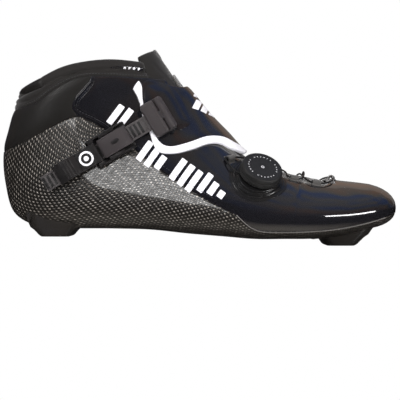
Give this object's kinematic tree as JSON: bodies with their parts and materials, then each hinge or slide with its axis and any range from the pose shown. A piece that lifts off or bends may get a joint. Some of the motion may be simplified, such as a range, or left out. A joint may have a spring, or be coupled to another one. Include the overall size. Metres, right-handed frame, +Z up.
{
  "type": "inline speed skate boot",
  "caption": "Low-cut carbon racing boot of an inline skate, right foot, with ratchet strap, lace dial and two sole blocks that a wheel frame bolts to.",
  "frame": {"origin": "under the middle of the boot's box, at the height of the forefoot block's face; the frame bolts lie in the plane Y 3.4 mm", "axes": "+X to the toe, +Z up, -Y to the outer side of the right foot"},
  "size_m": [0.2716, 0.0984, 0.1344],
  "materials": {
    "carbon": "clear-coated 2x2 twill carbon laminate",
    "patent": "high gloss patent synthetic leather",
    "satin_synthetic": "satin synthetic leather",
    "collar_fabric": "soft matte synthetic suede over foam",
    "lining_fabric": "brushed mesh over foam",
    "webbing": "woven nylon webbing",
    "white_edge": "satin white binding",
    "moulded_plastic": "moulded nylon, fine texture",
    "dial_plastic": "satin black nylon and rubber",
    "ladder_plastic": "moulded nylon",
    "steel": "zinc plated",
    "aluminium": "machined",
    "lace_cord": "thin braided lace"
  },
  "bodies": {
    "boot": {"carbon_shell": "carbon", "heel_mount_insert": "aluminium", "forefoot_mount_insert": "aluminium", "insole": "lining_fabric", "lining": "lining_fabric", "ankle_pad_lateral": "lining_fabric", "ankle_pad_medial": "lining_fabric", "eyestay": "webbing", "vamp": "patent", "quarter_lateral": "patent", "quarter_medial": "patent", "heel_panel": "satin_synthetic", "collar_padding": "collar_fabric", "collar_back_insert": "satin_synthetic", "tongue": "collar_fabric", "tongue_tab": "webbing", "instep_strap": "patent", "strap_trim": "white_edge", "strap_anchor_plate": "moulded_plastic", "strap_anchor_screw": "steel", "buckle_frame": "moulded_plastic", "buckle_screw": "steel", "buckle_nut": "steel", "lever_pin": "steel", "release_pin": "steel", "release_spring": "steel", "dial_base": "dial_plastic", "dial_screw": "steel", "lace": "lace_cord", "lace_guide_lateral_rear": "webbing", "lace_guide_lateral_middle": "webbing", "lace_guide_lateral_front": "webbing", "lace_guide_medial_rear": "webbing", "lace_guide_medial_middle": "webbing", "lace_guide_medial_front": "webbing", "lace_guide_toe": "webbing"},
    "heel_nut": {"heel_slide_nut": "steel"},
    "forefoot_nut": {"forefoot_slide_nut": "steel"},
    "ladder": {"ladder_strap": "ladder_plastic", "ladder_cover": "moulded_plastic", "ladder_screw": "steel"},
    "lever": {"buckle_lever": "moulded_plastic", "drive_pawl_pin": "steel", "drive_pawl_spring": "steel"},
    "pawl": {"drive_pawl": "steel"},
    "release": {"release_tab": "moulded_plastic"},
    "dial_pull": {"dial_hub": "dial_plastic"},
    "knob": {"dial_knob": "dial_plastic"},
    "spool": {"dial_spool": "dial_plastic"}
  },
  "joints": [
    {"name": "heel_nut_slide", "type": "slide", "parent": "boot", "child": "heel_nut", "axis": [0, 1, 0], "range_m": [-0.006, 0.006]},
    {"name": "forefoot_nut_slide", "type": "slide", "parent": "boot", "child": "forefoot_nut", "axis": [0, 1, 0], "range_m": [-0.006, 0.006]},
    {"name": "ladder_slide", "type": "slide", "parent": "boot", "child": "ladder", "axis": [0.8572, 0.0461, 0.5129], "range_m": [-0.004, 0.02]},
    {"name": "lever_hinge", "type": "hinge", "parent": "boot", "child": "lever", "pos_m": [-0.06842, -0.0373, 0.06254], "axis": [-0.5146, 0.0413, 0.8564], "range_deg": [0, 75]},
    {"name": "pawl_hinge", "type": "hinge", "parent": "lever", "child": "pawl", "pos_m": [-0.07271, -0.03713, 0.05995], "axis": [-0.5146, 0.0413, 0.8564], "range_deg": [-12, 0], "stiffness_Nm_per_rad": 0.003},
    {"name": "release_hinge", "type": "hinge", "parent": "boot", "child": "release", "pos_m": [-0.05855, -0.03717, 0.06846], "axis": [-0.5146, 0.0413, 0.8564], "range_deg": [-12, 0], "stiffness_Nm_per_rad": 0.02},
    {"name": "dial_pull_slide", "type": "slide", "parent": "boot", "child": "dial_pull", "axis": [0.2609, -0.6623, 0.7024], "range_m": [0, 0.0025]},
    {"name": "knob_turn", "type": "hinge", "parent": "dial_pull", "child": "knob", "pos_m": [0.039, -0.03153, 0.045], "axis": [0.2609, -0.6623, 0.7024], "continuous": true},
    {"name": "spool_turn", "type": "hinge", "parent": "boot", "child": "spool", "pos_m": [0.039, -0.03153, 0.045], "axis": [0.2609, -0.6623, 0.7024], "continuous": true}
  ],
  "couplings": [
    {"joint": "spool_turn", "follows": "knob_turn", "ratio": 1}
  ]
}
